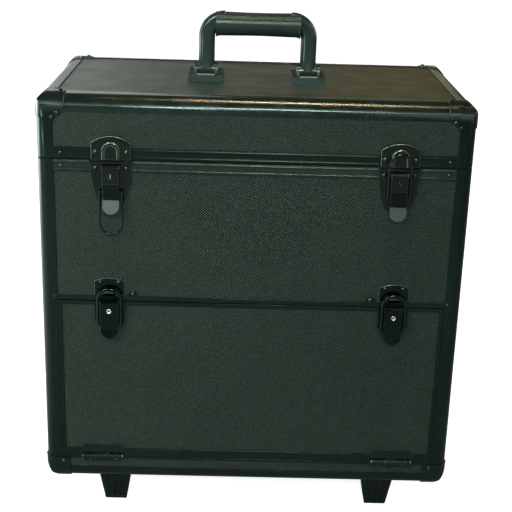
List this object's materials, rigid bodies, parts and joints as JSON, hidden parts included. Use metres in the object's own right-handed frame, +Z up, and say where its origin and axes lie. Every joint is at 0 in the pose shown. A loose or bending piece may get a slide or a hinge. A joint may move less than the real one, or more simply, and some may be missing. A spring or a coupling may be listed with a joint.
{
  "type": "makeup train case",
  "caption": "Upright beauty case with hinged lid, swing-out lift tray, drop-down door, wire-bail latches, folding handle, rear wheels and telescopic handle.",
  "frame": {"origin": "centre of the bounding box at the floor", "axes": "+Z up, -Y the front with the latches and the door, +X to the right seen from the front"},
  "size_m": [0.4044, 0.2498, 0.485],
  "materials": {
    "textured_board": "laminate with raised diagonal dots, dark green black",
    "smooth_board": "smooth satin laminate",
    "inner_board": "matt laminate",
    "profile": "satin black-green anodised",
    "corner_armour": "satin black",
    "rivet": "dark domed heads",
    "lining": "black short-pile lining",
    "hinge_steel": "black",
    "bright_steel": "zinc plated",
    "latch_black": "gloss black",
    "bail_wire": "black plated wire",
    "key_plug": "polished",
    "foot_plastic": "moulded, fluted",
    "housing_plastic": "moulded",
    "wheel_rubber": "moulded tyre on a plastic hub",
    "trolley_tube": "satin",
    "handle_plastic": "glossy black",
    "bracket_steel": "gloss black",
    "tray_plastic": "moulded"
  },
  "bodies": {
    "case": {"bottom_panel": "inner_board", "back_panel": "textured_board", "left_panel": "textured_board", "right_panel": "textured_board", "front_panel": "textured_board", "mid_shelf": "inner_board", "corner_posts": "profile", "base_profiles": "profile", "body_rim": "profile", "front_rails": "profile", "base_corner_caps": "corner_armour", "body_rivets": "rivet", "case_lining": "lining", "case_hinge_leaves": "hinge_steel", "steel_pins": "bright_steel", "latch_bases": "latch_black", "door_strikes": "latch_black", "front_feet": "foot_plastic", "wheel_housings": "housing_plastic", "trolley_tubes": "trolley_tube", "trolley_brackets": "housing_plastic", "tray_pins": "bright_steel"},
    "lid": {"lid_top": "smooth_board", "lid_walls": "textured_board", "lid_profiles": "profile", "lid_rim": "profile", "lid_corner_caps": "corner_armour", "lid_rivets": "rivet", "lid_hinge_leaves": "hinge_steel", "lid_strikes": "latch_black", "handle_brackets": "bracket_steel", "lid_link_studs": "bright_steel"},
    "handle": {"handle_frame": "handle_plastic", "handle_grip": "handle_plastic"},
    "door": {"door_panel": "textured_board", "door_trim": "profile", "door_hinge_leaves": "hinge_steel", "door_latch_bases": "latch_black"},
    "upper_left_lever": {"upper_left_lever": "latch_black"},
    "upper_left_bail": {"upper_left_bail": "bail_wire"},
    "upper_left_plug": {"upper_left_plug": "key_plug"},
    "upper_right_lever": {"upper_right_lever": "latch_black"},
    "upper_right_bail": {"upper_right_bail": "bail_wire"},
    "upper_right_plug": {"upper_right_plug": "key_plug"},
    "lower_left_lever": {"lower_left_lever": "latch_black"},
    "lower_left_bail": {"lower_left_bail": "bail_wire"},
    "lower_left_plug": {"lower_left_plug": "key_plug"},
    "lower_right_lever": {"lower_right_lever": "latch_black"},
    "lower_right_bail": {"lower_right_bail": "bail_wire"},
    "lower_right_plug": {"lower_right_plug": "key_plug"},
    "left_wheel": {"left_wheel": "wheel_rubber"},
    "right_wheel": {"right_wheel": "wheel_rubber"},
    "trolley_middle": {"trolley_middle_stage": "trolley_tube"},
    "trolley_inner": {"trolley_inner_stage": "trolley_tube", "trolley_grip": "housing_plastic"},
    "trolley_button": {"trolley_button": "housing_plastic"},
    "tray": {"lift_tray": "tray_plastic"},
    "front_swing": {"front_swing_arms": "bright_steel"},
    "rear_swing": {"rear_swing_arms": "bright_steel"},
    "drive_links": {"tray_drive_links": "bright_steel"}
  },
  "joints": [
    {"name": "lid_hinge", "type": "hinge", "parent": "case", "child": "lid", "pos_m": [0, 0.10637, 0.361], "axis": [-1, 0, 0], "range_deg": [0, 100]},
    {"name": "door_hinge", "type": "hinge", "parent": "case", "child": "door", "pos_m": [0, -0.11774, 0.058], "axis": [1, 0, 0], "range_deg": [0, 95]},
    {"name": "handle_fold", "type": "hinge", "parent": "lid", "child": "handle", "pos_m": [0, -0.00613, 0.428], "axis": [1, 0, 0], "range_deg": [-75, 75]},
    {"name": "upper_left_lever_turn", "type": "hinge", "parent": "case", "child": "upper_left_lever", "pos_m": [-0.132, -0.12054, 0.3545], "axis": [-1, 0, 0], "range_deg": [0, 100]},
    {"name": "upper_left_bail_swing", "type": "hinge", "parent": "upper_left_lever", "child": "upper_left_bail", "pos_m": [-0.132, -0.12073, 0.333], "axis": [1, 0, 0], "range_deg": [-180, 0]},
    {"name": "upper_left_key_turn", "type": "hinge", "parent": "upper_left_lever", "child": "upper_left_plug", "pos_m": [-0.132, -0.12054, 0.348], "axis": [0, 1, 0], "range_deg": [0, 90]},
    {"name": "upper_right_lever_turn", "type": "hinge", "parent": "case", "child": "upper_right_lever", "pos_m": [0.132, -0.12054, 0.3545], "axis": [-1, 0, 0], "range_deg": [0, 100]},
    {"name": "upper_right_bail_swing", "type": "hinge", "parent": "upper_right_lever", "child": "upper_right_bail", "pos_m": [0.132, -0.12073, 0.333], "axis": [-1, 0, 0], "range_deg": [-100, 0]},
    {"name": "upper_right_key_turn", "type": "hinge", "parent": "upper_right_lever", "child": "upper_right_plug", "pos_m": [0.132, -0.12054, 0.348], "axis": [0, 1, 0], "range_deg": [0, 90]},
    {"name": "lower_left_lever_turn", "type": "hinge", "parent": "door", "child": "lower_left_lever", "pos_m": [-0.135, -0.12054, 0.2226], "axis": [-1, 0, 0], "range_deg": [0, 100]},
    {"name": "lower_left_bail_swing", "type": "hinge", "parent": "lower_left_lever", "child": "lower_left_bail", "pos_m": [-0.135, -0.12073, 0.2007], "axis": [-1, 0, 0], "range_deg": [-100, 0]},
    {"name": "lower_left_key_turn", "type": "hinge", "parent": "lower_left_lever", "child": "lower_left_plug", "pos_m": [-0.135, -0.12054, 0.2157], "axis": [0, 1, 0], "range_deg": [0, 90]},
    {"name": "lower_right_lever_turn", "type": "hinge", "parent": "door", "child": "lower_right_lever", "pos_m": [0.135, -0.12054, 0.2226], "axis": [-1, 0, 0], "range_deg": [0, 100]},
    {"name": "lower_right_bail_swing", "type": "hinge", "parent": "lower_right_lever", "child": "lower_right_bail", "pos_m": [0.135, -0.12073, 0.2007], "axis": [-1, 0, 0], "range_deg": [-100, 0]},
    {"name": "lower_right_key_turn", "type": "hinge", "parent": "lower_right_lever", "child": "lower_right_plug", "pos_m": [0.135, -0.12054, 0.2157], "axis": [0, 1, 0], "range_deg": [0, 90]},
    {"name": "left_wheel_spin", "type": "hinge", "parent": "case", "child": "left_wheel", "pos_m": [-0.176, 0.09387, 0.023], "axis": [1, 0, 0], "continuous": true},
    {"name": "right_wheel_spin", "type": "hinge", "parent": "case", "child": "right_wheel", "pos_m": [0.176, 0.09387, 0.023], "axis": [1, 0, 0], "continuous": true},
    {"name": "middle_stage_slide", "type": "slide", "parent": "case", "child": "trolley_middle", "axis": [0, 0, -1], "range_m": [-0.23, 0]},
    {"name": "inner_stage_slide", "type": "slide", "parent": "trolley_middle", "child": "trolley_inner", "axis": [0, 0, -1], "range_m": [-0.23, 0]},
    {"name": "button_press", "type": "slide", "parent": "trolley_inner", "child": "trolley_button", "axis": [0, 0, -1], "range_m": [0, 0.003], "stiffness_N_per_m": 500, "springref_m": -0.001},
    {"name": "front_swing_turn", "type": "hinge", "parent": "case", "child": "front_swing", "pos_m": [0, -0.03308, 0.32877], "axis": [-1, 0, 0], "range_deg": [0, 100]},
    {"name": "rear_swing_turn", "type": "hinge", "parent": "case", "child": "rear_swing", "pos_m": [0, 0.03892, 0.32877], "axis": [-1, 0, 0], "range_deg": [0, 100]},
    {"name": "tray_level", "type": "hinge", "parent": "rear_swing", "child": "tray", "pos_m": [0, -0.02213, 0.318], "axis": [-1, 0, 0], "range_deg": [-100, 0]},
    {"name": "drive_link_turn", "type": "hinge", "parent": "rear_swing", "child": "drive_links", "pos_m": [0, -0.00608, 0.34277], "axis": [-1, 0, 0], "range_deg": [-100, 0]}
  ],
  "couplings": [
    {"joint": "front_swing_turn", "follows": "lid_hinge", "ratio": 1},
    {"joint": "rear_swing_turn", "follows": "lid_hinge", "ratio": 1},
    {"joint": "tray_level", "follows": "lid_hinge", "ratio": -1},
    {"joint": "drive_link_turn", "follows": "lid_hinge", "ratio": -1},
    {"joint": "upper_right_bail_swing", "follows": "upper_right_lever_turn", "ratio": -1},
    {"joint": "lower_left_bail_swing", "follows": "lower_left_lever_turn", "ratio": -1},
    {"joint": "lower_right_bail_swing", "follows": "lower_right_lever_turn", "ratio": -1}
  ]
}
